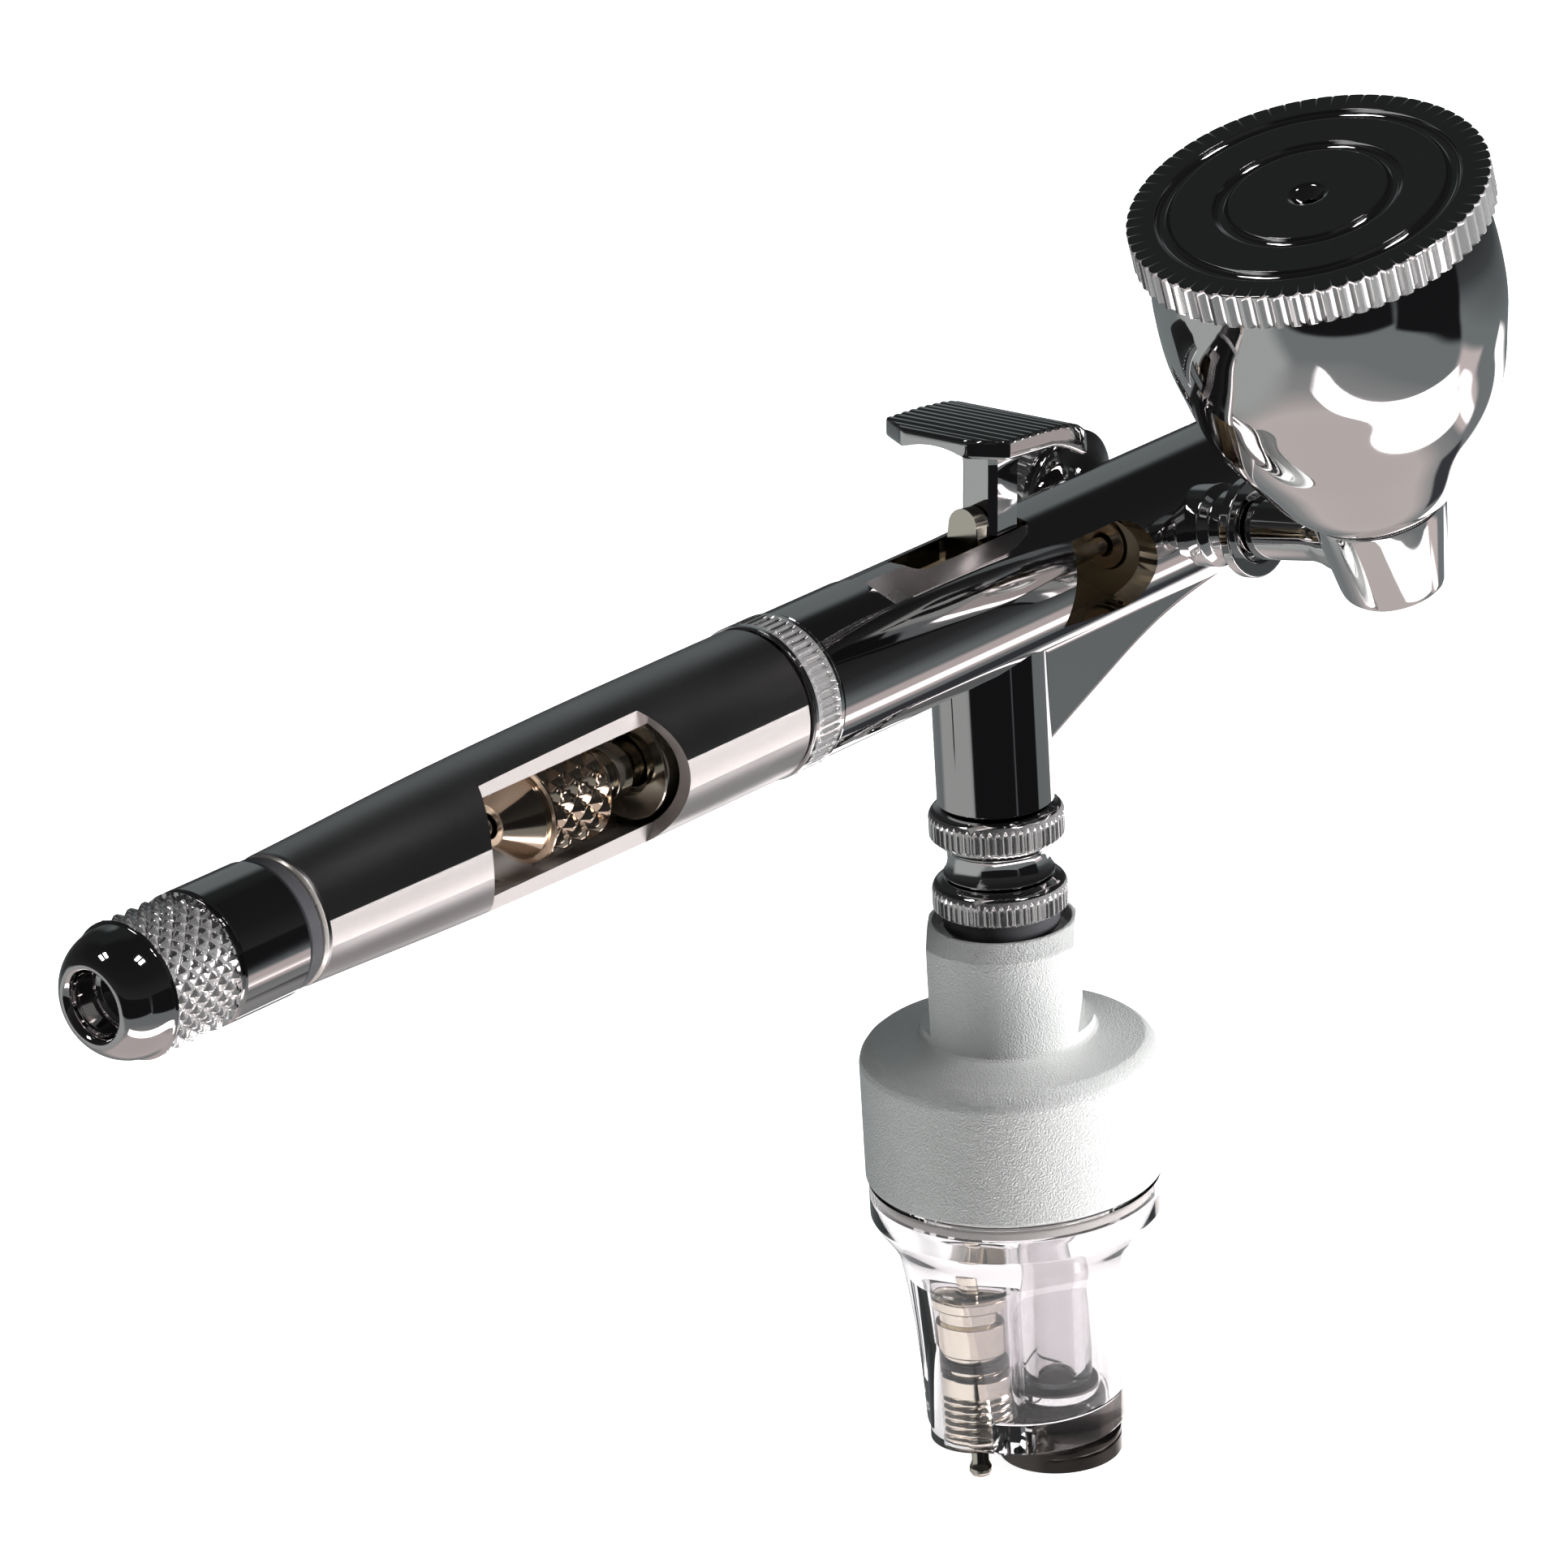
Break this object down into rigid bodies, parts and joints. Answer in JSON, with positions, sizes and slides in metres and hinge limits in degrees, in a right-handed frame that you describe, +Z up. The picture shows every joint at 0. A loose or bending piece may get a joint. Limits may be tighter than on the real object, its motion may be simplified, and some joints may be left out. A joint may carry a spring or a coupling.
{
  "type": "airbrush",
  "caption": "Side-feed airbrush with a lidded, swivelling paint cup, ridged finger trigger, windowed handle and a clear-bowled moisture filter under its valve stem.",
  "frame": {"origin": "centre of the air inlet's lower face, where the air hose screws on under the filter", "axes": "+X along the barrel towards the nozzle, +Z up the valve stem, -Y on the paint cup's side"},
  "size_m": [0.1489, 0.0513, 0.1127],
  "materials": {
    "black_chrome": "black mirror plating",
    "chrome": "bright mirror plating",
    "satin_chrome": "satin black plating",
    "nickel": "warm bright plating",
    "steel": "polished",
    "aluminium": "bead-blasted",
    "brass": "turned",
    "clear_plastic": "clear, polished",
    "dark_metal": "dark oxide, threaded",
    "rubber": "matt black",
    "white_plastic": "matt"
  },
  "bodies": {
    "filter": {"filter_housing": "aluminium", "coupling_ring": "chrome", "coupling_o_ring": "rubber", "filter_element": "white_plastic", "filter_baffle": "brass", "housing_o_ring": "white_plastic", "filter_bowl": "clear_plastic", "inlet_tube": "clear_plastic", "air_inlet_nipple": "dark_metal", "drain_valve_body": "nickel", "drain_o_ring": "rubber", "drain_spring": "steel"},
    "gun": {"main_body": "black_chrome", "rear_collar": "chrome", "stem_coupling": "chrome", "cup_port_bush": "chrome", "plug_port_bush": "black_chrome", "plug_gasket": "white_plastic", "port_plug": "black_chrome", "needle_packing": "white_plastic", "packing_screw": "brass", "spring_case": "nickel", "needle_spring": "steel", "valve_packing": "white_plastic", "valve_seat": "brass", "valve_spring": "steel", "valve_retaining_screw": "brass", "head_gasket": "white_plastic", "fluid_head": "black_chrome", "nozzle": "brass", "nozzle_cap": "chrome", "needle_cap": "chrome", "handle": "satin_chrome", "knob_friction_ring": "rubber"},
    "plunger": {"valve_plunger": "steel", "valve_o_ring": "rubber"},
    "trigger": {"trigger": "chrome"},
    "lever": {"auxiliary_lever": "nickel"},
    "needle": {"needle": "steel", "chucking_guide": "nickel", "chuck_nut": "brass"},
    "knob": {"preset_knob": "black_chrome"},
    "stop": {"needle_stop_rod": "steel"},
    "cup": {"cup_bowl": "chrome", "cup_base": "chrome"},
    "lid": {"cup_lid": "black_chrome"},
    "drain_pin": {"drain_pin": "nickel"}
  },
  "joints": [
    {"name": "filter_swivel", "type": "hinge", "parent": "filter", "child": "gun", "pos_m": [-0.00303, 0.00085, 0.0493], "axis": [0, 0, 1], "continuous": true},
    {"name": "valve_press", "type": "slide", "parent": "gun", "child": "plunger", "axis": [0, 0, -1], "range_m": [0, 0.0018], "stiffness_N_per_m": 600, "springref_m": -0.002, "deforming": ["valve_spring"]},
    {"name": "trigger_pull", "type": "hinge", "parent": "plunger", "child": "trigger", "pos_m": [-0.00303, 0.00085, 0.0716], "axis": [0, -1, 0], "range_deg": [0, 28], "stiffness_Nm_per_rad": 0.05, "springref_deg": -11.46},
    {"name": "lever_rock", "type": "hinge", "parent": "gun", "child": "lever", "pos_m": [-0.00583, 0.00085, 0.072], "axis": [0, -1, 0], "range_deg": [0, 37.6]},
    {"name": "needle_draw", "type": "slide", "parent": "gun", "child": "needle", "axis": [-1, 0, 0], "range_m": [0, 0.0038], "deforming": ["needle_spring"]},
    {"name": "preset_knob_turn", "type": "hinge", "parent": "gun", "child": "knob", "pos_m": [-0.09303, 0.00085, 0.0753], "axis": [1, 0, 0], "range_deg": [0, 1080]},
    {"name": "stop_rod_travel", "type": "slide", "parent": "gun", "child": "stop", "axis": [1, 0, 0], "range_m": [0, 0.0031]},
    {"name": "cup_swivel", "type": "hinge", "parent": "gun", "child": "cup", "pos_m": [0.01867, 0.00085, 0.0753], "axis": [0, -0.9919, 0.1271], "continuous": true},
    {"name": "lid_lift", "type": "slide", "parent": "cup", "child": "lid", "axis": [-0.304, -0.0249, 0.9523], "range_m": [0, 0.015]},
    {"name": "drain_press", "type": "slide", "parent": "filter", "child": "drain_pin", "axis": [0, 0, 1], "range_m": [0, 0.001], "stiffness_N_per_m": 500, "springref_m": -0.001, "deforming": ["drain_spring"]}
  ],
  "couplings": [
    {"joint": "lever_rock", "follows": "trigger_pull", "ratio": 1.3214},
    {"joint": "needle_draw", "follows": "trigger_pull", "m_per_rad": 0.007571},
    {"joint": "stop_rod_travel", "follows": "preset_knob_turn", "m_per_rad": 0.00015915}
  ]
}
